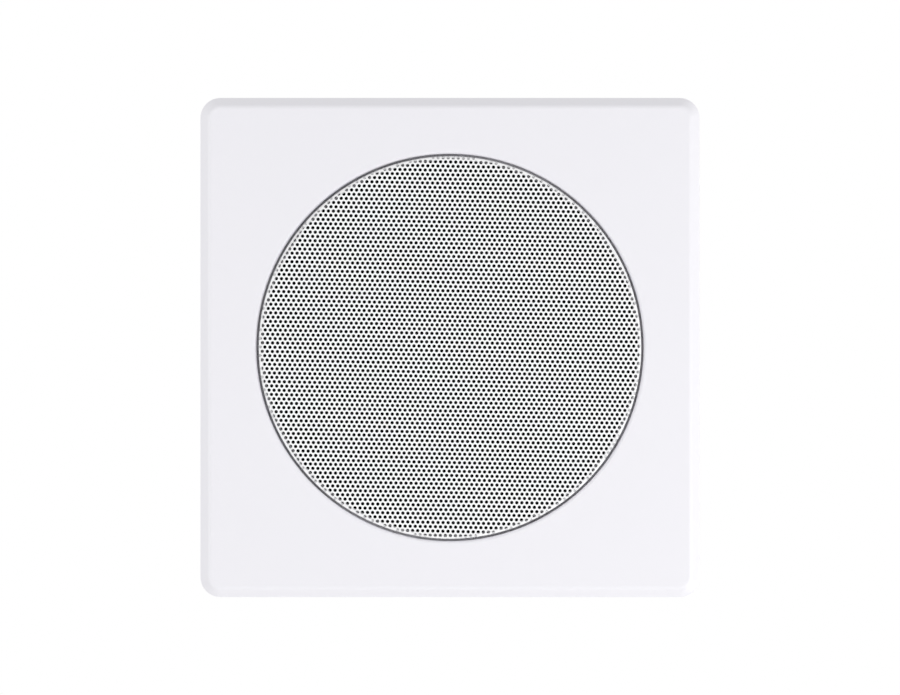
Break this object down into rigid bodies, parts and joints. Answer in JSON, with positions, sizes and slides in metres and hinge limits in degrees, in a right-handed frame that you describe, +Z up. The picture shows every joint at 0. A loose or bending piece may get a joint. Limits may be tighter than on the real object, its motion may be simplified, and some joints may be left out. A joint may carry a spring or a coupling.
{
  "type": "flush wall speaker",
  "caption": "Square flush-mounting wall speaker with a round perforated grille, a two-way driver behind it, and swing-out clamps that hold it in a round hole in a wall board",
  "frame": {"origin": "centre of the round opening, in the plane where the plate's back touches the wall", "axes": "+X to the viewer's right, +Y into the wall along the speaker's axis, +Z up"},
  "size_m": [0.2, 0.0876, 0.2],
  "materials": {
    "frame_abs": "white ABS, moulded, fine satin texture",
    "grille_enamel": "perforated steel sheet, white powder coat",
    "black_cloth": "black acoustic cloth",
    "zinc_steel": "zinc-plated steel",
    "grey_nylon": "glass-filled nylon, dark grey",
    "foam": "closed-cell foam",
    "black_steel": "pressed steel, black enamel",
    "rubber": "butyl rubber",
    "cone_poly": "filled polypropylene, satin",
    "spider_cloth": "resin-stiffened cotton cloth",
    "kapton": "amber polyimide film",
    "copper": "enamelled copper wire",
    "plated_steel": "turned steel, zinc plated",
    "ferrite": "ground ferrite",
    "phenolic": "paper phenolic board",
    "tinned_brass": "tinned brass",
    "copper_braid": "braided copper lead",
    "black_abs": "black ABS, moulded",
    "silk": "coated silk",
    "green_board": "glass-epoxy board with solder mask",
    "capacitor_film": "wrapped polyester film",
    "white_ceramic": "cement-filled ceramic",
    "red_plastic": "red ABS",
    "black_plastic": "black ABS",
    "red_pvc": "red PVC insulation",
    "black_pvc": "black PVC insulation"
  },
  "bodies": {
    "housing": {"front_frame": "frame_abs", "grille": "grille_enamel", "grille_cloth": "black_cloth", "driver_seal": "foam", "basket": "black_steel", "rim_gasket": "foam", "front_plate": "plated_steel", "magnet": "ferrite", "yoke": "plated_steel", "tag_strip": "phenolic", "solder_tags": "tinned_brass", "woofer_screws": "zinc_steel", "tweeter_bridge": "black_abs", "bridge_screws": "zinc_steel", "tweeter_face": "black_abs", "tweeter_dome": "silk", "tweeter_coil": "copper", "tweeter_pot": "plated_steel", "tweeter_magnet": "ferrite", "tweeter_top_plate": "plated_steel", "carrier": "black_abs", "carrier_screws": "zinc_steel", "crossover_board": "green_board", "board_screws": "zinc_steel", "inductor_bobbin": "black_abs", "inductor_winding": "copper", "capacitor": "capacitor_film", "resistor": "white_ceramic", "terminal_block": "black_abs", "woofer_wire_red": "red_pvc", "woofer_wire_black": "black_pvc", "tweeter_wire_red": "red_pvc", "tweeter_wire_black": "black_pvc"},
    "cone_assembly": {"cone": "cone_poly", "dust_cap": "cone_poly", "coil_former": "kapton", "voice_coil": "copper", "surround": "rubber", "spider": "spider_cloth", "tinsel_leads": "copper_braid"},
    "clamp_screw_1": {"clamp_screw_1": "zinc_steel"},
    "clamp_dog_1": {"clamp_dog_1": "grey_nylon"},
    "clamp_screw_2": {"clamp_screw_2": "zinc_steel"},
    "clamp_dog_2": {"clamp_dog_2": "grey_nylon"},
    "clamp_screw_3": {"clamp_screw_3": "zinc_steel"},
    "clamp_dog_3": {"clamp_dog_3": "grey_nylon"},
    "clamp_screw_4": {"clamp_screw_4": "zinc_steel"},
    "clamp_dog_4": {"clamp_dog_4": "grey_nylon"},
    "lever_red": {"lever_red": "red_plastic"},
    "lever_black": {"lever_black": "black_plastic"}
  },
  "joints": [
    {"name": "cone_travel", "type": "slide", "parent": "housing", "child": "cone_assembly", "axis": [0, -1, 0], "range_m": [-0.003, 0.003], "stiffness_N_per_m": 1000, "deforming": ["surround", "spider", "tinsel_leads"]},
    {"name": "clamp_swing_1", "type": "hinge", "parent": "housing", "child": "clamp_screw_1", "pos_m": [0.0495, 0.02, 0.0495], "axis": [0, 1, 0], "range_deg": [0, 105]},
    {"name": "clamp_slide_1", "type": "slide", "parent": "clamp_screw_1", "child": "clamp_dog_1", "axis": [0, -1, 0], "range_m": [0, 0.022]},
    {"name": "clamp_swing_2", "type": "hinge", "parent": "housing", "child": "clamp_screw_2", "pos_m": [-0.0495, 0.02, 0.0495], "axis": [0, 1, 0], "range_deg": [0, 105]},
    {"name": "clamp_slide_2", "type": "slide", "parent": "clamp_screw_2", "child": "clamp_dog_2", "axis": [0, -1, 0], "range_m": [0, 0.022]},
    {"name": "clamp_swing_3", "type": "hinge", "parent": "housing", "child": "clamp_screw_3", "pos_m": [-0.0495, 0.02, -0.0495], "axis": [0, 1, 0], "range_deg": [0, 105]},
    {"name": "clamp_slide_3", "type": "slide", "parent": "clamp_screw_3", "child": "clamp_dog_3", "axis": [0, -1, 0], "range_m": [0, 0.022]},
    {"name": "clamp_swing_4", "type": "hinge", "parent": "housing", "child": "clamp_screw_4", "pos_m": [0.0495, 0.02, -0.0495], "axis": [0, 1, 0], "range_deg": [0, 105]},
    {"name": "clamp_slide_4", "type": "slide", "parent": "clamp_screw_4", "child": "clamp_dog_4", "axis": [0, -1, 0], "range_m": [0, 0.022]},
    {"name": "press_red", "type": "slide", "parent": "housing", "child": "lever_red", "axis": [0, -1, 0], "range_m": [0, 0.003], "stiffness_N_per_m": 800},
    {"name": "press_black", "type": "slide", "parent": "housing", "child": "lever_black", "axis": [0, -1, 0], "range_m": [0, 0.003], "stiffness_N_per_m": 800}
  ]
}
